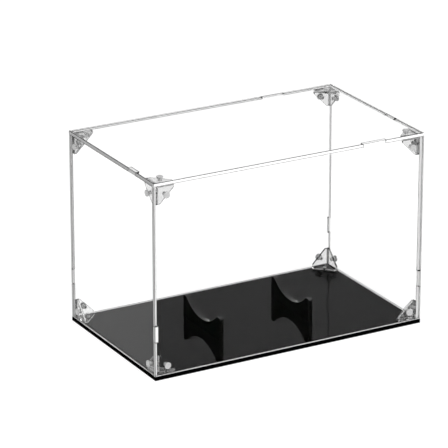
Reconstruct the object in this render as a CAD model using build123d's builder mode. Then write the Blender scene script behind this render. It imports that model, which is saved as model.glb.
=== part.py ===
"""Football display case: a clear, knock-down cover riveted at its corners, on a black base with two cradles.

Frame: +X along the length, +Y towards the back, +Z up, origin in the middle of the base's underside.
"""
from build123d import *
import math
import os

# ---------------------------------------------------------------- driving dimensions, mm
case_length = 340.0
case_depth = 200.0
case_height = 227.5
base_thickness = 4.5
sheet = 4.0                    # thickness of the clear panels
joint_play = 0.1               # gap left between a tab and its notch

top_keys = {"front": (90.0, 120.0), "back": (76.0, 104.0), "left": (-59.0, -41.0), "right": (-42.0, -24.0)}
side_key = (44.5, 63.4)        # height range of the tab on each upright edge

bracket_leg = 22.0
bracket_tip = 4.9              # blunt end of each triangular flange
bracket_tip_round = 2.0
bracket_wall = 2.4
bracket_root = 1.2             # fillet where two flanges meet
rivet_inset = 11.0             # from the panels' inner faces to a rivet's axis

head_radius = 3.8
head_height = 1.7
head_round = 0.7
shank_radius = 2.0
tip_radius = 1.5
hole_radius = 2.1
barb_radius = 2.3
rivet_poke = 0.9               # how far a rivet's tip stands past the bracket
pin_radius = 0.9
pin_bore_radius = 1.0
pin_head_radius = 2.1
pin_seat_radius = 2.2
pin_seat_depth = 0.9
pin_dome = 0.3
pin_setback = 0.4              # the pin's stem ends this far short of the rivet's tip
slit_width = 0.5
slit_share = 0.55              # of the shank's length

cradle_thickness = 5.0
cradle_offset = 57.5           # from the middle of the case to the middle of each cradle
cradle_middle = -3.5
cradle_half = 42.0
cradle_height = 27.3
cradle_lip = 7.0               # flat top at each end of the curve
cradle_dip = 12.3              # lowest point of the curve, above the base
cradle_tab = 14.0
cradle_tab_spread = 25.0
cradle_corner = 1.2
tab_play = 0.2
underside_relief = 0.4         # cradle tabs and rivet heads stop this far inside the underside

# ---------------------------------------------------------------- places worked out from them
half_x = case_length / 2
half_y = case_depth / 2
inner_x = half_x - sheet
inner_y = half_y - sheet
floor_z = base_thickness
ceiling_z = case_height - sheet
rivet_x = inner_x - rivet_inset
rivet_y = inner_y - rivet_inset
rivet_low = floor_z + rivet_inset
rivet_high = ceiling_z - rivet_inset
wall_top = ceiling_z - joint_play
rivet_grip = sheet + bracket_wall + rivet_poke
base_bore_depth = head_height + underside_relief
base_grip = base_thickness - base_bore_depth + bracket_wall + rivet_poke


def save(name, builder):
    """Labels a finished piece and writes it to its own file."""
    builder.part.label = name
    export_step(builder.part, f"parts/{name}.step")


def middle(span):
    return (span[0] + span[1]) / 2


def width(span):
    return span[1] - span[0]


# ---------------------------------------------------------------- base and cradles
def make_base():
    slot_length = cradle_tab + 2 * tab_play
    slot_width = cradle_thickness + 2 * joint_play
    slots = [(x, cradle_middle + y) for x in (-cradle_offset, cradle_offset)
             for y in (-cradle_tab_spread, cradle_tab_spread)]
    with BuildPart() as base:
        with BuildSketch():
            Rectangle(case_length, case_depth)
            with Locations(slots):
                Rectangle(slot_width, slot_length, mode=Mode.SUBTRACT)
        extrude(amount=base_thickness)
        with Locations(Plane.XY.rotated((180, 0, 0))):
            with GridLocations(2 * rivet_x, 2 * rivet_y, 2, 2):
                CounterBoreHole(hole_radius, head_radius + joint_play, base_bore_depth)
    return base


def make_cradle(x):
    """An upright plate with a concave top, standing on two tabs that go through the base."""
    low, top = floor_z, floor_z + cradle_height
    front, back = cradle_middle - cradle_half, cradle_middle + cradle_half
    curve_front, curve_back = front + cradle_lip, back - cradle_lip
    with BuildPart() as cradle:
        with BuildSketch(Plane.YZ.offset(x - cradle_thickness / 2)):
            with BuildLine():
                Polyline((curve_back, top), (back, top), (back, low), (front, low), (front, top),
                         (curve_front, top))
                ThreePointArc((curve_front, top), (cradle_middle, low + cradle_dip), (curve_back, top))
            make_face()
            with Locations((cradle_middle - cradle_tab_spread, low), (cradle_middle + cradle_tab_spread, low)):
                Rectangle(cradle_tab, base_thickness - underside_relief, align=(Align.CENTER, Align.MAX))
        extrude(amount=cradle_thickness)
        tips = cradle.edges().filter_by(Axis.X).group_by(Axis.Z)[-1]
        fillet(tips, radius=cradle_corner)
    return cradle


# ---------------------------------------------------------------- clear panels
def make_top():
    """The lid: notched on each edge for the key tab of the wall below it."""
    notches = {
        "front": (middle(top_keys["front"]), -half_y, width(top_keys["front"]), 2 * sheet),
        "back": (middle(top_keys["back"]), half_y, width(top_keys["back"]), 2 * sheet),
        "left": (-half_x, middle(top_keys["left"]), 2 * sheet, width(top_keys["left"])),
        "right": (half_x, middle(top_keys["right"]), 2 * sheet, width(top_keys["right"])),
    }
    with BuildPart() as top:
        with BuildSketch(Plane.XY.offset(ceiling_z)):
            Rectangle(case_length, case_depth)
            for x, y, along_x, along_y in notches.values():
                with Locations((x, y)):
                    Rectangle(along_x, along_y, mode=Mode.SUBTRACT)
            with GridLocations(2 * rivet_x, 2 * rivet_y, 2, 2):
                Circle(hole_radius, mode=Mode.SUBTRACT)
        extrude(amount=sheet)
    return top


def make_wall(plane, half_width, key, ends, hole_offset):
    """An upright panel on its plane; ends says whether its side edges are notched or carry tabs."""
    side_height = width(side_key)
    play = 2 * joint_play
    with BuildPart() as wall:
        with BuildSketch(plane):
            with Locations((0, floor_z)):
                Rectangle(2 * half_width, wall_top - floor_z, align=(Align.CENTER, Align.MIN))
            with Locations((middle(key), wall_top)):
                Rectangle(width(key) - play, case_height - wall_top, align=(Align.CENTER, Align.MIN))
            with Locations((-half_width, middle(side_key)), (half_width, middle(side_key))):
                if ends == "notched":
                    Rectangle(2 * (sheet + joint_play), side_height, mode=Mode.SUBTRACT)
                else:
                    Rectangle(2 * (sheet + joint_play), side_height - play)
            with Locations((0, (rivet_low + rivet_high) / 2)):
                with GridLocations(2 * hole_offset, rivet_high - rivet_low, 2, 2):
                    Circle(hole_radius, mode=Mode.SUBTRACT)
        extrude(amount=sheet)
    return wall


# ---------------------------------------------------------------- corner brackets
def flange_outline(a_side, a_wall, b_side, b_wall):
    """Corners of a blunt right triangle, measured inwards from two walls on the sides of their signs."""
    steps = [(0, 0), (bracket_leg, 0), (bracket_leg, bracket_tip), (bracket_tip, bracket_leg), (0, bracket_leg)]
    return [(a_wall - a_side * a, b_wall - b_side * b) for a, b in steps]


def make_bracket(side_x, side_y, side_z):
    """Three triangular flanges at right angles, each against one of the three faces at a corner."""
    corner_x, corner_y = side_x * inner_x, side_y * inner_y
    corner_z = ceiling_z if side_z > 0 else floor_z
    hole_x, hole_y = side_x * rivet_x, side_y * rivet_y
    hole_z = corner_z - side_z * rivet_inset
    flanges = [
        (Plane.XY.offset(corner_z), -side_z, (side_x, corner_x, side_y, corner_y), (hole_x, hole_y)),
        (Plane.XZ.offset(-corner_y), side_y, (side_x, corner_x, side_z, corner_z), (hole_x, hole_z)),
        (Plane.YZ.offset(corner_x), -side_x, (side_y, corner_y, side_z, corner_z), (hole_y, hole_z)),
    ]
    with BuildPart() as bracket:
        for plane, inwards, outline, hole in flanges:
            corners = flange_outline(*outline)
            with BuildSketch(plane) as flange:
                with BuildLine():
                    Polyline(*corners, close=True)
                make_face()
                tips = [vertex for vertex in flange.vertices()
                        if min((vertex.center() - Vector(*tip)).length for tip in corners[2:4]) < 0.01]
                fillet(tips, radius=bracket_tip_round)
            extrude(amount=inwards * bracket_wall)
        middle_of_corner = Vector(corner_x - side_x * bracket_wall, corner_y - side_y * bracket_wall,
                                  corner_z - side_z * bracket_wall)
        roots = [edge for edge in bracket.edges()
                 if min((v.center() - middle_of_corner).length for v in edge.vertices()) < 0.01]
        fillet(roots, radius=bracket_root)
        for plane, inwards, outline, hole in flanges:
            with BuildSketch(plane):
                with Locations(hole):
                    Circle(hole_radius)
            extrude(amount=inwards * 2 * bracket_wall, mode=Mode.SUBTRACT)
    return bracket


# ---------------------------------------------------------------- rivets and their pins
def make_rivet(grip, barbed):
    """A hollow push rivet on +Z, its head's underside at zero and its slit shank going down by grip."""
    widest = barb_radius if barbed else shank_radius
    shoulder = head_height - head_round
    rim = head_radius - head_round
    seat_floor = head_height - pin_seat_depth
    with BuildPart() as rivet:
        with BuildSketch(Plane.XZ):
            with BuildLine():
                Polyline((pin_bore_radius, -grip), (tip_radius, -grip), (widest, -grip + rivet_poke * 0.6),
                         (shank_radius, -grip + rivet_poke * 0.9), (shank_radius, 0), (head_radius, 0),
                         (head_radius, shoulder))
                TangentArc((head_radius, shoulder), (rim, head_height), tangent=(0, 1))
                Polyline((rim, head_height), (pin_seat_radius, head_height), (pin_seat_radius, seat_floor),
                         (pin_bore_radius, seat_floor), (pin_bore_radius, -grip))
            make_face()
        revolve(axis=Axis.Z)
        slit_length = grip * slit_share
        with Locations((0, 0, -grip)):
            Box(2 * head_radius, slit_width, slit_length, align=(Align.CENTER, Align.CENTER, Align.MIN),
                mode=Mode.SUBTRACT)
            Box(slit_width, 2 * head_radius, slit_length, align=(Align.CENTER, Align.CENTER, Align.MIN),
                mode=Mode.SUBTRACT)
    return rivet


def make_pin(grip):
    """The pin pushed into a rivet: a domed button in the head's seat, on a plain stem."""
    button_low = head_height - pin_seat_depth
    crown = head_height + pin_dome
    with BuildPart() as pin:
        with BuildSketch(Plane.XZ):
            with BuildLine():
                TangentArc((0, crown), (pin_head_radius, head_height), tangent=(1, 0))
                Polyline((pin_head_radius, head_height), (pin_head_radius, button_low), (pin_radius, button_low),
                         (pin_radius, pin_setback - grip), (0, pin_setback - grip), (0, crown))
            make_face()
        revolve(axis=Axis.Z)
    return pin


def copies(master, places):
    """One node holding a separate copy of the master at each place."""
    with BuildPart() as group:
        for place in places:
            add(master.part.moved(Location(place)))
    return group


def face_places(outwards, across, points):
    """Planes at the given points whose Z looks outwards."""
    return [Plane(origin=point, x_dir=across, z_dir=outwards) for point in points]


plus_minus = (-1, 1)
heights = (rivet_low, rivet_high)
rivet_places = {
    "front": face_places((0, -1, 0), (1, 0, 0), [(s * rivet_x, -half_y, z) for s in plus_minus for z in heights]),
    "back": face_places((0, 1, 0), (1, 0, 0), [(s * rivet_x, half_y, z) for s in plus_minus for z in heights]),
    "left": face_places((-1, 0, 0), (0, 1, 0), [(-half_x, s * rivet_y, z) for s in plus_minus for z in heights]),
    "right": face_places((1, 0, 0), (0, 1, 0), [(half_x, s * rivet_y, z) for s in plus_minus for z in heights]),
    "top": face_places((0, 0, 1), (1, 0, 0),
                       [(s * rivet_x, t * rivet_y, case_height) for s in plus_minus for t in plus_minus]),
    "base": face_places((0, 0, -1), (1, 0, 0),
                        [(s * rivet_x, t * rivet_y, base_bore_depth) for s in plus_minus for t in plus_minus]),
}

# ---------------------------------------------------------------- build and write every piece
os.makedirs("parts", exist_ok=True)

save("base_plate", make_base())
save("left_cradle", make_cradle(-cradle_offset))
save("right_cradle", make_cradle(cradle_offset))

save("top_panel", make_top())
save("front_panel", make_wall(Plane.XZ.offset(inner_y), half_x, top_keys["front"], "notched", rivet_x))
save("back_panel", make_wall(Plane.XZ.offset(-half_y), half_x, top_keys["back"], "notched", rivet_x))
side_half = inner_y - joint_play
save("left_panel", make_wall(Plane.YZ.offset(-half_x), side_half, top_keys["left"], "tabbed", rivet_y))
save("right_panel", make_wall(Plane.YZ.offset(inner_x), side_half, top_keys["right"], "tabbed", rivet_y))

for level, side_z in (("lower", -1), ("upper", 1)):
    for face, side_y in (("front", -1), ("back", 1)):
        for hand, side_x in (("left", -1), ("right", 1)):
            save(f"{level}_{face}_{hand}_bracket", make_bracket(side_x, side_y, side_z))

barbed_rivet = make_rivet(rivet_grip, barbed=True)
cover_pin = make_pin(rivet_grip)
plain_rivet = make_rivet(base_grip, barbed=False)
base_pin = make_pin(base_grip)
for face, places in rivet_places.items():
    on_base = face == "base"
    save(f"{face}_rivets", copies(plain_rivet if on_base else barbed_rivet, places))
    save(f"{face}_rivet_pins", copies(base_pin if on_base else cover_pin, places))

seat_radius = ((cradle_half - cradle_lip) ** 2 + (cradle_height - cradle_dip) ** 2) / (
    2 * (cradle_height - cradle_dip))
print(f"cradle curve radius {seat_radius:.1f} mm; inside {2 * inner_x:.0f} x {2 * inner_y:.0f}"
      f" x {ceiling_z - floor_z:.0f} mm; inside diagonal {math.hypot(2 * inner_x, 2 * inner_y):.0f} mm")
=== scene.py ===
# %% [markdown]
# # A football display case
# A clear acrylic cover stands on a glossy black base with two black cradles. Eight clear corner
# brackets and twenty-four push rivets hold the sheets together, and the whole cover lifts off the
# base. The solids of the design are loaded first: they fix every place and size, and the pieces
# made here only give them their finish.

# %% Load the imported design
import math

import bmesh
import bpy
import numpy as np
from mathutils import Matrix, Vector
from mathutils.geometry import tessellate_polygon


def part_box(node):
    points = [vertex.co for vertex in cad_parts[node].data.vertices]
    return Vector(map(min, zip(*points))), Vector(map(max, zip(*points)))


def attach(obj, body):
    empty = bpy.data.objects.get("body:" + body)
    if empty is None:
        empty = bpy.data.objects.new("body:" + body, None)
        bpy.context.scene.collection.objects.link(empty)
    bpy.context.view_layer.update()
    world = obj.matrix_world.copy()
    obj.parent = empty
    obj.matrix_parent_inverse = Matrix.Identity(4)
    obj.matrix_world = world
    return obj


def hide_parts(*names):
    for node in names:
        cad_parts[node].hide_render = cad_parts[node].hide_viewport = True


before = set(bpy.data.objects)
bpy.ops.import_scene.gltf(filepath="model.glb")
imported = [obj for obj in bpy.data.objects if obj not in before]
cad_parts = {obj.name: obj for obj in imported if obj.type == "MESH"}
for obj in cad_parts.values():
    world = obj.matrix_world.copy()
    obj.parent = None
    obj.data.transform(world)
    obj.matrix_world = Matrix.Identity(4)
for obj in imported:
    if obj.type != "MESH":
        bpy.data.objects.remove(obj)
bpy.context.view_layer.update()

scene = bpy.context.scene

# %% [markdown]
# ## Helpers for meshes
# Almost everything here is either cut from flat sheet or turned round an axis. So two makers are
# enough: one for a plate with softened edges, one for a turned shape. Each works out all its points
# as arrays. A plate could also be a cube with a bevel modifier, but then its notches and holes
# would need booleans, which leave ragged faces in glass.

# %% Turn arrays into a Blender object
MM = 0.001


def new_piece(name, points, faces, materials, material_of_face=None):
    """An object at the origin whose mesh has these points (metres) and faces."""
    mesh = bpy.data.meshes.new(name)
    corners = [list(map(int, face)) for face in faces]
    mesh.from_pydata(np.asarray(points, float).tolist(), [], corners)
    for material in materials:
        mesh.materials.append(material)
    if material_of_face is not None:
        mesh.polygons.foreach_set("material_index", np.asarray(material_of_face, np.int32))
    mesh.update()
    piece = bpy.data.objects.new(name, mesh)
    scene.collection.objects.link(piece)
    return piece


# %% Outlines
def pulled_in(loop, distance):
    """Every corner of a closed 2-D loop moved inwards so that each side shifts by the distance
    (mitred): corner + distance * (left of the side before + left of the side after) / (1 + their dot
    product)."""
    loop = np.asarray(loop, float)
    before = loop - np.roll(loop, 1, axis=0)
    after = np.roll(loop, -1, axis=0) - loop
    before /= np.linalg.norm(before, axis=1, keepdims=True)
    after /= np.linalg.norm(after, axis=1, keepdims=True)
    left_before = np.stack([-before[:, 1], before[:, 0]], axis=1)
    left_after = np.stack([-after[:, 1], after[:, 0]], axis=1)
    share = 1 + (left_before * left_after).sum(axis=1, keepdims=True)
    return loop + distance * (left_before + left_after) / share


def area(loop):
    """Signed area of a closed 2-D loop: half the sum of the cross products of neighbouring corners."""
    x, y = np.asarray(loop, float).T
    return 0.5 * np.sum(x * np.roll(y, -1) - y * np.roll(x, -1))


def ring_of_points(centre, radius, count=32):
    """A circle: the centre plus radius times cosine and sine of evenly spaced angles."""
    turn = np.linspace(0, 2 * np.pi, count, endpoint=False)
    return np.column_stack([centre[0] + radius * np.cos(turn), centre[1] + radius * np.sin(turn)])


# %% Which finish each edge of a sheet gets
FACE, EDGE, START, END, TIP, TAB, CORNER = range(7)
SHEET = 4 * MM
LONGEST_KEY = 35 * MM
LONGEST_FLANK = 2 * SHEET


def sides_of(loop):
    """What each side of an outline is, as arrays of yes and no: square to the first direction, past the
    middle, on the rim, longer than any key, and the flank of a tab or a notch."""
    middle = (loop + np.roll(loop, -1, axis=0)) / 2
    side = np.roll(loop, -1, axis=0) - loop
    length = np.linalg.norm(side, axis=1)
    farthest = np.isclose(abs(middle), abs(loop).max(axis=0))
    lowest = np.isclose(middle, loop.min(axis=0))
    return {"across": np.isclose(side[:, 0], 0), "past_middle": middle[:, 0] > 0,
            "on_rim": (farthest | lowest).any(axis=1), "long": length > LONGEST_KEY,
            "flank": length < LONGEST_FLANK}


def edge_kinds(sides):
    """Ends and long edges have finishes of their own, and so have the tips of tabs. The flanks of tabs
    and notches are painted dark: painted shade for their deep gaps."""
    kinds = np.where(sides["across"], np.where(sides["past_middle"], END, START), EDGE)
    kinds[~sides["long"]] = np.where(sides["on_rim"], TIP, EDGE)[~sides["long"]]
    kinds[sides["flank"]] = CORNER
    return kinds


def chamfer_kinds(sides, is_outer, dark_top):
    """Chamfers are painted dark, as painted shade for outlines, on the rim and on upright edges, and
    clear inside a joint unless dark_top is set. Round tabs and notches only the outer chamfer is painted
    dark."""
    dark = sides["long"] & (sides["on_rim"] | sides["across"] | dark_top)
    dark |= (sides["on_rim"] | sides["flank"]) & is_outer
    return np.where(dark, CORNER, FACE)


# %% A flat plate with softened edges
def plate(name, outline, holes, low, high, place, materials, outer="high",
          dark_top=False, soft=0.3 * MM):
    """A sheet between two heights. Each loop gives four rings, the outer two pulled in by soft, so every
    edge has a narrow chamfer; the rings are joined by quads and both faces are filled around the holes.
    The materials are for the two faces, the long edges, the ends at the start and the end of the first
    direction, the tips of tabs, their outer faces, and the chamfers. The outer face of every tab is
    filled apart."""
    loops = [np.asarray(outline)[::1 if area(outline) > 0 else -1]]
    loops += [np.asarray(hole)[::-1 if area(hole) > 0 else 1] for hole in holes]
    outer_ring = 2 if outer == "high" else 0
    points, faces, kinds, lows, highs = [], [], [], [], []
    tabs = []
    start = 0
    for loop in loops:
        count = len(loop)
        inner = pulled_in(loop, soft)
        rings = [(inner, low), (loop, low + soft), (loop, high - soft), (inner, high)]
        points += [np.column_stack([ring, np.full(count, height)]) for ring, height in rings]
        i = np.arange(count)
        j = (i + 1) % count
        is_hole = loop is not loops[0]
        sides = sides_of(loop)
        for ring in range(3):
            a = start + ring * count
            faces += np.column_stack([a + i, a + j, a + count + j, a + count + i]).tolist()
            if is_hole:
                kinds += [EDGE if ring == 1 else FACE] * count
            elif ring == 1:
                kinds += edge_kinds(sides).tolist()
            else:
                kinds += chamfer_kinds(sides, ring == outer_ring, dark_top).tolist()
        keep = np.ones(count, bool)
        if not is_hole:
            for k in np.flatnonzero(sides["on_rim"] & ~sides["long"] & np.roll(sides["flank"], 1)):
                corners = np.array([k - 1, k, k + 1, k + 2]) % count
                tabs.append((start, count, corners))
                keep[corners[1:3]] = False
        lows.append((start + i)[keep])
        highs.append((start + 3 * count + i)[keep])
        start += 4 * count
    points = np.vstack(points)
    for rows, flip in ((lows, True), (highs, False)):
        index = np.concatenate(rows)
        fill = tessellate_polygon([[Vector((*points[k][:2], 0)) for k in row] for row in rows])
        for triangle in fill:
            corner = index[list(triangle)]
            upwards = area(points[corner][:, :2]) > 0
            faces.append((corner[::-1] if upwards == flip else corner).tolist())
            kinds.append(FACE)
    for first, count, corners in tabs:
        faces += [(first + corners[::-1]).tolist(), (first + 3 * count + corners).tolist()]
        kinds += [TAB, FACE] if outer == "low" else [FACE, TAB]
    return new_piece(name, place(points), faces, materials, kinds)


# %% Three ways to lay a plate
def lying(points):
    """A sheet drawn in X and Y, with its thickness along Z."""
    return points


def facing_front(points):
    """A sheet drawn in X and Z, with its thickness towards the front."""
    x, z, forwards = points.T
    return np.column_stack([x, -forwards, z])


def facing_x(points):
    """A sheet drawn in Y and Z, with its thickness along X."""
    y, z, x = points.T
    return np.column_stack([x, y, z])


# %% Mend a mesh after it is made
def tidy_mesh(mesh, merge):
    """Joins points closer than merge, drops faces that collapse, and points every face outwards."""
    shell = bmesh.new()
    shell.from_mesh(mesh)
    bmesh.ops.remove_doubles(shell, verts=shell.verts, dist=merge)
    bmesh.ops.dissolve_degenerate(shell, dist=merge, edges=shell.edges)
    bmesh.ops.recalc_face_normals(shell, faces=shell.faces)
    shell.to_mesh(mesh)
    shell.free()
    mesh.update()


# %% Leave a film of air round a mesh
def drawn_in(mesh, film):
    """Moves each point by the step that shifts all its faces inwards by the film: the least-squares
    answer of normal . step = -film over its faces. Gives back the faces' normals."""
    points = np.empty((len(mesh.vertices), 3))
    mesh.vertices.foreach_get("co", points.ravel())
    normals = np.empty((len(mesh.polygons), 3))
    mesh.polygons.foreach_get("normal", normals.ravel())
    corner_point = np.empty(len(mesh.loops), np.int32)
    mesh.loops.foreach_get("vertex_index", corner_point)
    sides = np.empty(len(mesh.polygons), np.int32)
    mesh.polygons.foreach_get("loop_total", sides)
    n = normals[np.repeat(np.arange(len(sides)), sides)]
    square = np.zeros((len(points), 3, 3))
    np.add.at(square, corner_point, n[:, :, None] * n[:, None, :])
    total = np.zeros((len(points), 3))
    np.add.at(total, corner_point, n)
    points -= film * np.einsum("pij,pj->pi", np.linalg.pinv(square), total)
    mesh.vertices.foreach_set("co", points.ravel())
    return normals


# %% A piece from its own solid, with softer edges
SAME_POINT = 0.001 * MM
SAME_FLAT = math.radians(1)
SHARP = math.radians(40)
SQUARE_ON = 0.99


def softened(node, film, soft, materials, flat_axis=None):
    """A copy of a CAD solid, merged into flat faces, shrunk by a film of air and given rounded edges.
    Where flat_axis is given, faces across that axis take the first material and cut edges the second;
    otherwise faces square to any axis take the first. The rounded edges take the last."""
    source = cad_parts[node].data
    shell = bmesh.new()
    shell.from_mesh(source)
    bmesh.ops.remove_doubles(shell, verts=shell.verts, dist=SAME_POINT)
    bmesh.ops.dissolve_limit(shell, angle_limit=SAME_FLAT, verts=shell.verts, edges=shell.edges)
    mesh = bpy.data.meshes.new(node + "_finished")
    shell.to_mesh(mesh)
    shell.free()
    normals = drawn_in(mesh, film)
    for material in materials:
        mesh.materials.append(material)
    square_on = abs(normals).max(axis=1) if flat_axis is None else abs(normals[:, flat_axis])
    mesh.polygons.foreach_set("material_index", (square_on < SQUARE_ON).astype(np.int32))
    mesh.update()
    piece = bpy.data.objects.new(node + "_finished", mesh)
    scene.collection.objects.link(piece)
    rounding = piece.modifiers.new("rounded edges", "BEVEL")
    rounding.width = soft
    rounding.segments = 2
    rounding.material = len(materials) - 1
    rounding.limit_method = "ANGLE"
    rounding.angle_limit = SHARP
    return piece


# %% A shape turned round an axis
POLE = 0.0001 * MM


def turned(name, profile, origin, axis, materials, dark_rows, count=40):
    """A closed outline of (radius, height) pairs carried round the axis: point = origin + height *
    axis + radius * (cos * side + sin * up). Outline points on the axis are closed with triangles.
    The first rows of faces, as many as dark_rows says, take the second material."""
    axis = np.asarray(axis, float)
    side = np.roll(axis, 1)
    up = np.cross(axis, side)
    turn = np.linspace(0, 2 * np.pi, count, endpoint=False)
    spoke = np.cos(turn)[:, None] * side + np.sin(turn)[:, None] * up
    radius, height = np.asarray(profile, float).T
    points = origin + height[:, None, None] * axis + radius[:, None, None] * spoke
    rows = len(profile)
    k, i = np.meshgrid(np.arange(rows), np.arange(count), indexing="ij")
    k_next, i_next = (k + 1) % rows, (i + 1) % count
    here, below = k * count, k_next * count
    quads = np.stack([here + i, here + i_next, below + i_next, below + i], axis=-1)
    piece = new_piece(name, points.reshape(-1, 3), quads.reshape(-1, 4), materials,
                      (k < dark_rows).ravel())
    tidy_mesh(piece.data, POLE)
    return piece


# %% [markdown]
# ## How a finish is made
# Every finish here is one Principled shader. What is the same all over a surface, such as how
# strongly it bends light, is typed straight onto the shader. What varies, such as the grain of a
# cut or dust on a gloss face, is driven by noise in Object coordinates, which stay put when the
# piece moves. A picture of scratches would do too, but it needs an unwrapped mesh and repeats, and
# noise doesn't.

# %% A plain finish to build on
def finish(name, tone, **settings):
    """A Principled shader of one grey tone. Settings are the shader's own sockets, with _ for each
    space."""
    material = bpy.data.materials.new(name)
    material.use_nodes = True
    shader = material.node_tree.nodes["Principled BSDF"]
    shader.inputs["Base Color"].default_value = (tone, tone, tone, 1)
    for socket, value in settings.items():
        shader.inputs[socket.replace("_", " ")].default_value = value
    return material


# %% Noise that drives one socket
def grain(material, size, stretch=(1, 1, 1)):
    """Noise between 0 and 1 whose blobs are about this size in metres, drawn out along an axis by
    stretch."""
    nodes, links = material.node_tree.nodes, material.node_tree.links
    place = nodes.new("ShaderNodeTexCoord")
    fit = nodes.new("ShaderNodeMapping")
    fit.inputs["Scale"].default_value = [1 / (size * s) for s in stretch]
    noise = nodes.new("ShaderNodeTexNoise")
    noise.inputs["Scale"].default_value = 1
    noise.inputs["Detail"].default_value = 3
    links.new(place.outputs["Object"], fit.inputs["Vector"])
    links.new(fit.outputs["Vector"], noise.inputs["Vector"])
    return noise.outputs["Fac"]


def between(material, source, socket, low, high, start=0.35, stop=0.65):
    """Drives a socket from low to high as the source goes from start to stop. A colour gets the
    same grey."""
    nodes, links = material.node_tree.nodes, material.node_tree.links
    span = nodes.new("ShaderNodeMapRange")
    for name, value in (("From Min", start), ("From Max", stop), ("To Min", low), ("To Max", high)):
        span.inputs[name].default_value = value
    links.new(source, span.inputs["Value"])
    links.new(span.outputs["Result"], nodes["Principled BSDF"].inputs[socket])


def relief(material, source, height):
    """Raises and lowers the surface by up to this height in metres, for light only."""
    nodes, links = material.node_tree.nodes, material.node_tree.links
    bump = nodes.new("ShaderNodeBump")
    bump.inputs["Distance"].default_value = height
    links.new(source, bump.inputs["Height"])
    links.new(bump.outputs["Normal"], nodes["Principled BSDF"].inputs["Normal"])


# %% [markdown]
# ## Clear sheets
# The five sheets are 4 mm acrylic, cut so that each joint has one key tab and the notch for it.
# They can't be joined face to face in the picture any more than on the bench: a film of air stays
# between them, and that film is what makes a joint in clear plastic visible. So every sheet is
# drawn a hair smaller than its solid.

# %% [markdown]
# Clear acrylic shows almost nothing but its edges. Its faces only let light through, with faint
# smears where hands have been. The cut edges are frosted: they gather the light that runs inside
# the sheet, so they look pale over something dark and grey over something light. Some ends and tab
# tips are painted greyer, as painted shade where less light falls on them, and the broken corners
# between face and edge are painted near black, as painted shade for the dark outlines that clear
# plastic draws by bending light away. Pure glass all over would be truer to physics, but light would
# bounce in it dozens of times, and its edges would stay full of specks.

# %% Finishes of the clear sheets
NO_MIRROR = (0, 0, 0, 1)
SHEET_IOR = 1.15


def clear_face_finish(name, tone):
    """See-through, with smears 60 mm across that take a little light, and the faint waves of cast
    sheet."""
    material = finish(name, tone, Roughness=0, IOR=SHEET_IOR, Transmission_Weight=1,
                      Specular_Tint=NO_MIRROR)
    smears = grain(material, 60 * MM)
    between(material, smears, "Base Color", tone, 0.985 * tone, 0.5, 0.8)
    relief(material, smears, 0.02 * MM)
    return material


def cut_edge_finish(name, tone, spread=0.06):
    """Frosted by the cut, with a grain finer than a millimetre in its tone, its gloss and its
    relief."""
    material = finish(name, tone, IOR=SHEET_IOR, Transmission_Weight=0.1, Specular_IOR_Level=0.1)
    saw_marks = grain(material, 0.6 * MM)
    between(material, saw_marks, "Base Color", tone * (1 - spread), min(1, tone * (1 + spread)))
    between(material, saw_marks, "Roughness", 0.25, 0.45)
    relief(material, saw_marks, 0.02 * MM)
    return material


clear_face = clear_face_finish("clear_face", 1)
# A clear face tinted half grey: painted shade for the line where a tab sits in its notch.
shaded_tab_face = clear_face_finish("tab_face_painted_shade", 0.5)
pale_edge = cut_edge_finish("pale_cut_edge", 0.94)
side_edge = cut_edge_finish("side_sheet_cut_edge", 0.8)
# Painted shade: these greyer tones go on the ends and tab tips where less light falls.
shaded_end = cut_edge_finish("painted_shade_end", 0.41)
side_shaded_end = cut_edge_finish("side_sheet_painted_shade_end", 0.6)
# Near black: painted shade for the dark outlines along chamfers and in the gaps at tab flanks.
shaded_corner = cut_edge_finish("broken_corner_painted_shade", 0.03)


def sheet_look(edge, start, end, tip, tab):
    """The finishes of one sheet, in the order in which the plate maker numbers them."""
    return [clear_face, edge, start, end, tip, tab, shaded_corner]


# The outer faces of tabs are painted like the edge they continue, pale, grey or tinted, so the edge
# lines run on over the joints: painted light and shade.
SHEET_LOOKS = {
    "top": sheet_look(pale_edge, shaded_end, pale_edge, pale_edge, pale_edge),
    "front": sheet_look(pale_edge, shaded_end, pale_edge, pale_edge, pale_edge),
    "back": sheet_look(pale_edge, shaded_end, pale_edge, shaded_end, shaded_tab_face),
    "left": sheet_look(side_edge, pale_edge, side_shaded_end, side_edge, shaded_end),
    "right": sheet_look(pale_edge, side_edge, side_edge, shaded_end, shaded_tab_face),
}
sheet_finishes = {material.name for look in SHEET_LOOKS.values() for material in look}
print("sheet finishes", sorted(sheet_finishes))

# %% Sheet outlines
AIR = 0.06 * MM
top_low, top_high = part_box("top_panel")
HALF_X = top_high.x
HALF_Y = top_high.y
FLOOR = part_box("base_plate")[1].z
KEYS = {"front": (90 * MM, 120 * MM), "back": (76 * MM, 104 * MM),
        "left": (-59 * MM, -41 * MM), "right": (-42 * MM, -24 * MM)}
SIDE_KEY = (44.5 * MM, 63.4 * MM)
KEY_PLAY = 0.5 * MM
RIVET_INSET = SHEET + 11 * MM
HOLE = 2.1 * MM
LID_CHAMFER = 0.55 * MM


def wall_outline(half, low, high, key, key_top, side, step):
    """Corners of a wall, going round leftwards: a tab on the top edge, and a step out or in on each
    side edge."""
    out = half + step
    return np.array([
        (-half, low), (half, low), (half, side[0]), (out, side[0]), (out, side[1]), (half, side[1]),
        (half, high), (key[1], high), (key[1], key_top), (key[0], key_top), (key[0], high),
        (-half, high), (-half, side[1]), (-out, side[1]), (-out, side[0]), (-half, side[0])])


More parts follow.
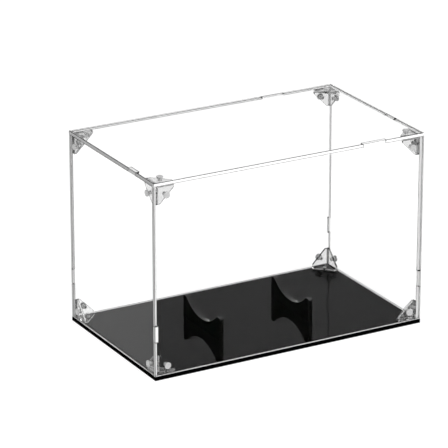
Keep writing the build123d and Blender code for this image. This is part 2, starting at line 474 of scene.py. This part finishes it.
def lid_outline(half_x, half_y, depth):
    """Corners of the lid, with one notch of this depth in each edge."""
    front, back, left, right = (KEYS[edge] for edge in ("front", "back", "left", "right"))
    x, y = half_x - depth, half_y - depth
    return np.array([
        (-half_x, -half_y), (front[0], -half_y), (front[0], -y), (front[1], -y), (front[1], -half_y),
        (half_x, -half_y), (half_x, right[0]), (x, right[0]), (x, right[1]), (half_x, right[1]),
        (half_x, half_y), (back[1], half_y), (back[1], y), (back[0], y), (back[0], half_y),
        (-half_x, half_y), (-half_x, left[1]), (-x, left[1]), (-x, left[0]), (-half_x, left[0])])


def shrunk(span, by):
    """A span that starts later and stops sooner by the same amount."""
    return span[0] + by, span[1] - by


# %% Cut the sheets
sheets = {}
rivet_x, rivet_y = HALF_X - RIVET_INSET, HALF_Y - RIVET_INSET
rivet_z = (FLOOR + RIVET_INSET - SHEET, top_high.z - RIVET_INSET)
wall_bottom, wall_top = FLOOR + AIR, top_low.z - AIR
lid_holes = [ring_of_points((x, y), HOLE) for x in (-rivet_x, rivet_x) for y in (-rivet_y, rivet_y)]
sheets["top_panel"] = plate("top_sheet", lid_outline(HALF_X, HALF_Y, SHEET + AIR), lid_holes,
                            top_low.z + AIR, top_high.z, lying, SHEET_LOOKS["top"], soft=LID_CHAMFER)
for name in ("front", "back"):
    outline = wall_outline(HALF_X, wall_bottom, wall_top, shrunk(KEYS[name], KEY_PLAY), top_high.z,
                           SIDE_KEY, -SHEET - AIR)
    holes = [ring_of_points((x, z), HOLE) for x in (-rivet_x, rivet_x) for z in rivet_z]
    near = HALF_Y if name == "front" else SHEET - HALF_Y
    sheets[name + "_panel"] = plate(name + "_sheet", outline, holes, near - SHEET, near,
                                    facing_front, SHEET_LOOKS[name],
                                    outer="high" if name == "front" else "low",
                                    dark_top=name == "back")
for name in ("left", "right"):
    outline = wall_outline(HALF_Y - SHEET - AIR, wall_bottom, wall_top, shrunk(KEYS[name], KEY_PLAY),
                           top_high.z, shrunk(SIDE_KEY, KEY_PLAY), SHEET)
    holes = [ring_of_points((y, z), HOLE) for y in (-rivet_y, rivet_y) for z in rivet_z]
    near = -HALF_X if name == "left" else HALF_X - SHEET
    sheets[name + "_panel"] = plate(name + "_sheet", outline, holes, near, near + SHEET,
                                    facing_x, SHEET_LOOKS[name],
                                    outer="low" if name == "left" else "high",
                                    dark_top=name == "left")
for node, sheet in sheets.items():
    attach(sheet, "cover")
    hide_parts(node)
print("sheets", {node: len(sheet.data.polygons) for node, sheet in sheets.items()})

# %% [markdown]
# ## Corner brackets
# Each bracket is one clear moulding: three blunt triangles at right angles, with a soft inside
# corner. Its solid has that shape already, so the piece is a copy of it with a film of air and the
# rounded edges that come out of a mould.

# %% Finishes of the brackets
BRACKET_IOR = 1.49


def moulded_finish(name, tone, ripple=0.01 * MM):
    """Clear plastic from a mould: light is bent strongly, and the skin has shallow ripples 3 mm
    across."""
    material = finish(name, tone, IOR=BRACKET_IOR, Transmission_Weight=1, Specular_Tint=NO_MIRROR)
    flow = grain(material, 3 * MM)
    between(material, flow, "Roughness", 0.005, 0.03)
    between(material, flow, "Base Color", 0.92 * tone, tone)
    relief(material, flow, ripple)
    return material


# Upper brackets are the shaded copy: faces tinted grey, sides darker and rounded edges black, painted
# shade for the grey and the dark outlines of clear plastic over a light ground.
shaded_bracket_finish = [moulded_finish("bracket_face", 0.75), moulded_finish("bracket_side_painted_shade", 0.2),
                  moulded_finish("bracket_rounded_edge_painted_shade", 0)]


def painted_glow_edge_finish(name, tone):
    """A pale edge, painted light that stands in for the light a clear moulding gathers, so that it shows
    pale over black.
    """
    material = finish(name, tone, IOR=BRACKET_IOR, Transmission_Weight=0.15, Specular_IOR_Level=0.3)
    flow = grain(material, 1.5 * MM)
    between(material, flow, "Base Color", 0.3 * tone, tone, 0.4, 0.5)
    between(material, flow, "Roughness", 0.1, 0.2)
    relief(material, flow, 0.03 * MM)
    return material


painted_glow_edge = painted_glow_edge_finish("bracket_painted_glow_edge", 0.95)
# Lower brackets over the black base are the lit copy: lighter faces and pale edges as painted light; the
# one that stands over white keeps the shaded copy.
painted_lit_bracket_finish = [moulded_finish("lower_bracket_face", 0.9, 0.003 * MM), painted_glow_edge,
                      shaded_bracket_finish[2]]
DARK_EDGED = "lower_back_right_bracket"

# %% Mould the brackets
BRACKET_ROUND = 0.45 * MM
brackets = [node for node in sorted(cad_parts) if node.endswith("_bracket")]
for node in brackets:
    over_black = node.startswith("lower") and node != DARK_EDGED
    bracket = softened(node, AIR, BRACKET_ROUND,
                       painted_lit_bracket_finish if over_black else shaded_bracket_finish)
    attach(bracket, "cover")
    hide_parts(node)
print("brackets", len(brackets))

# %% [markdown]
# ## Push rivets
# A rivet is turned work: a hollow shank with a flat round head, and a pin pushed in until its
# button sits in the head. The outline of half a section is carried round the axis. Four copies
# share one object, as they share one node.

# %% Finish of the rivets
def rivet_plastic():
    """Milky plastic, half clear: the tone clouds slowly and the skin is satin."""
    material = finish("milky_rivet", 0.6, IOR=1.35, Transmission_Weight=0.3)
    cloud = grain(material, 2 * MM)
    between(material, cloud, "Base Color", 0.54, 0.66)
    between(material, cloud, "Roughness", 0.1, 0.2)
    relief(material, cloud, 0.01 * MM)
    return material


rivet_finish = rivet_plastic()
pin_shade = moulded_finish("shaded_pin_stem", 0.05)

# %% Rivet and pin profiles
HEAD_R, HEAD_H, HEAD_ROUND = 3.8 * MM, 1.7 * MM, 0.7 * MM
SHANK_R, BORE_R, TIP_R, BARB_R = 2.0 * MM, 1.0 * MM, 1.5 * MM, 2.3 * MM
SEAT_R, SEAT_DEPTH = 2.2 * MM, 0.9 * MM
PIN_R, BUTTON_R, CROWN, SETBACK = 0.9 * MM, 2.1 * MM, 0.3 * MM, 0.4 * MM
POKE = 0.9 * MM
BREAK, SEAT_BREAK = 0.15 * MM, 0.1 * MM


def quarter(centre, radius, start, steps=5):
    """A quarter of a circle from a start angle in degrees, turning leftwards."""
    turn = np.radians(np.linspace(start, start + 90, steps))
    return [(centre[0] + radius * math.cos(a), centre[1] + radius * math.sin(a)) for a in turn]


def rivet_profile(grip, barbed):
    """Half the section of a rivet, its head's underside at height zero, the shank going down by
    grip. Corners are broken at the head's underside and at the seat."""
    widest = BARB_R if barbed else SHANK_R
    rim = quarter((HEAD_R - HEAD_ROUND, HEAD_H - HEAD_ROUND), HEAD_ROUND, 0)
    return [(BORE_R, -grip), (TIP_R, -grip), (widest, 0.6 * POKE - grip), (SHANK_R, 0.9 * POKE - grip),
            (SHANK_R, AIR), (HEAD_R - BREAK, AIR), (HEAD_R, AIR + BREAK), *rim,
            (SEAT_R + SEAT_BREAK, HEAD_H), (SEAT_R, HEAD_H - SEAT_BREAK), (SEAT_R, HEAD_H - SEAT_DEPTH),
            (BORE_R, HEAD_H - SEAT_DEPTH)]


def pin_profile(grip):
    """Half the section of a pin: a stem, a button in the seat, and a shallow dome on top."""
    out = np.linspace(1, 0, 6)
    dome = [(BUTTON_R * r, HEAD_H + CROWN * (1 - r * r)) for r in out]
    low = HEAD_H - SEAT_DEPTH + AIR
    return [(0, SETBACK - grip), (PIN_R, SETBACK - grip), (PIN_R, low), (BUTTON_R, low), *dome]


# %% Turn the rivets and pins
BRACKET_WALL = 2.4 * MM
COVER_GRIP = SHEET + BRACKET_WALL + POKE
BORE_DEPTH = HEAD_H + 0.4 * MM
BASE_GRIP = FLOOR - BORE_DEPTH + BRACKET_WALL + POKE
PLUS_MINUS = (-1, 1)
corner_places = [(s * rivet_x, t * rivet_y) for s in PLUS_MINUS for t in PLUS_MINUS]
RIVET_PLACES = {
    "front": ((0, -1, 0), [(s * rivet_x, -HALF_Y, z) for s in PLUS_MINUS for z in rivet_z]),
    "back": ((0, 1, 0), [(s * rivet_x, HALF_Y, z) for s in PLUS_MINUS for z in rivet_z]),
    "left": ((-1, 0, 0), [(-HALF_X, s * rivet_y, z) for s in PLUS_MINUS for z in rivet_z]),
    "right": ((1, 0, 0), [(HALF_X, s * rivet_y, z) for s in PLUS_MINUS for z in rivet_z]),
    "top": ((0, 0, 1), [(x, y, top_high.z) for x, y in corner_places]),
    "base": ((0, 0, -1), [(x, y, BORE_DEPTH) for x, y in corner_places]),
}


def joined(name, pieces):
    """One object from several that share their materials."""
    with bpy.context.temp_override(active_object=pieces[0], selected_editable_objects=pieces):
        bpy.ops.object.join()
    pieces[0].name = name
    pieces[0].data.name = name
    return pieces[0]


for face, (axis, places) in RIVET_PLACES.items():
    on_base = face == "base"
    grip = BASE_GRIP if on_base else COVER_GRIP
    for kind, profile, dark_rows in (("rivets", rivet_profile(grip, not on_base), 0),
                                     ("rivet_pins", pin_profile(grip), 2)):
        copies = [turned(f"{face}_{kind}_{i}", profile, place, axis, [rivet_finish, pin_shade],
                         dark_rows) for i, place in enumerate(places)]
        group = joined(f"{face}_{kind}_turned", copies)
        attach(group, "base" if on_base else "cover")
        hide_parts(f"{face}_{kind}")
print("rivets", 4 * len(RIVET_PLACES), "grip", round(COVER_GRIP / MM, 1), "mm in the cover")

# %% [markdown]
# ## Black base and cradles
# The base is a single sheet of glossy black acrylic, and the two cradles are cut from another, with
# a curve for the ball's flank and two tabs that drop into slots in the base. A cut edge of black
# acrylic is slightly duller than its faces, so the edges get their own finish.

# %% Finishes of the black acrylic
def black_finish(name, shine, gloss, dust=0.004):
    """Black with a mirror shine. Streaks 4 mm wide and 40 mm long vary the gloss, as wiping leaves
    them, and dust lightens specks of a third of a millimetre. Shine is the share of light mirrored,
    gloss its least and greatest blur."""
    material = finish(name, 0.001, IOR=1.45, Specular_IOR_Level=shine)
    between(material, grain(material, 0.3 * MM), "Base Color", 0.0005, dust, 0.68, 0.8)
    between(material, grain(material, 4 * MM, (10, 1, 1)), "Roughness", *gloss)
    return material


base_finish = [black_finish("black_base_face", 0.055, (0.005, 0.02)),
               black_finish("black_base_edge", 0, (0.1, 0.2), 0)]
cradle_finish = [black_finish("black_cradle_face", 0, (0.01, 0.03), 0.002),
                 black_finish("black_cradle_edge", 0.45, (0.03, 0.05), 0.002)]
print("black finishes", len(base_finish + cradle_finish))

# %% Cut the base and cradles
POLISH = 0.25 * MM
for node, flat_axis in (("base_plate", 2), ("left_cradle", 0), ("right_cradle", 0)):
    is_cradle = node.endswith("cradle")
    black = softened(node, 0, POLISH, cradle_finish if is_cradle else base_finish, flat_axis)
    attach(black, node if is_cradle else "base")
    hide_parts(node)
    print(node, "faces", len(black.data.polygons))


# %% [markdown]
# ## Studio
# Clear plastic is drawn by what stands round it, so the studio matters as much as the finishes. The
# floor is white and partly lit from within, like a light table, so that it shows no shadows and
# every edge reads as a thin line. A floor lit only by lamps would need them strong enough to burn
# out the milky rivets.

# %% Floor
FLOOR_SIZE = 30
UNDER_BASE = 0.2 * MM
floor_corners = [(x * FLOOR_SIZE, y * FLOOR_SIZE, -UNDER_BASE)
                 for x, y in ((-1, -1), (1, -1), (1, 1), (-1, 1))]
light_table = finish("light_table", 0.25, Roughness=1, Specular_IOR_Level=0,
                     Emission_Color=(1, 1, 1, 1), Emission_Strength=0.83)
floor = new_piece("floor", floor_corners, [(0, 1, 2, 3)], [light_table])
print("floor", 2 * FLOOR_SIZE, "m square")

# %% [markdown]
# The light is a soft dome: dim near the horizon, brighter overhead, with a broad glow in front. The
# dim horizon is what the glossy base mirrors, so it sets how black the base looks. Area lamps would
# leave bright squares in it.

# %% Light
SKY_STRENGTH = 2.2
SKY = ((0, 0.28), (0.45, 0.3), (0.75, 0.45))
FRONT_GLOW = 0.7
world = bpy.data.worlds.new("soft_studio")
scene.world = world
world.use_nodes = True
nodes, links = world.node_tree.nodes, world.node_tree.links
split = nodes.new("ShaderNodeSeparateXYZ")
links.new(nodes.new("ShaderNodeTexCoord").outputs["Generated"], split.inputs["Vector"])
dome = nodes.new("ShaderNodeValToRGB")
links.new(split.outputs["Z"], dome.inputs["Fac"])
ramp = dome.color_ramp.elements
stops = [ramp[0], ramp.new(0.5), ramp[-1]]
for stop, (height, grey) in zip(stops, SKY):
    stop.position = height
    stop.color = (grey, grey, grey, 1)
glow = nodes.new("ShaderNodeMapRange")
for socket, value in (("From Min", -0.2), ("From Max", -1), ("To Max", FRONT_GLOW)):
    glow.inputs[socket].default_value = value
links.new(split.outputs["Y"], glow.inputs["Value"])
total = nodes.new("ShaderNodeMix")
total.data_type = "RGBA"
total.blend_type = "ADD"
total.inputs["Factor"].default_value = 1
links.new(dome.outputs["Color"], total.inputs["A"])
links.new(glow.outputs["Result"], total.inputs["B"])
links.new(total.outputs["Result"], nodes["Background"].inputs["Color"])
nodes["Background"].inputs["Strength"].default_value = SKY_STRENGTH
scene.view_settings.view_transform = "Standard"
print("sky", SKY, "times", SKY_STRENGTH)

# %% [markdown]
# The camera stands well back with a long lens, to the left of the front and a little above, so that
# upright edges stay upright. Its turn is worked out from its direction, which is easier to read
# than three angles.

# %% Camera
AZIMUTH, ELEVATION = math.radians(-29.38), math.radians(20.65)
LENS, SENSOR = 256.2, 36
STAND = (-1.6623, -2.9019, 1.3782)
backwards = Vector((math.sin(AZIMUTH) * math.cos(ELEVATION),
                    -math.cos(AZIMUTH) * math.cos(ELEVATION), math.sin(ELEVATION)))
camera = bpy.data.objects.new("camera", bpy.data.cameras.new("camera"))
camera.location = STAND
camera.rotation_euler = backwards.to_track_quat("Z", "Y").to_euler()
camera.data.sensor_width = SENSOR
camera.data.lens = LENS
scene.collection.objects.link(camera)
scene.camera = camera
print("camera", [round(v, 3) for v in camera.location], "lens", LENS)
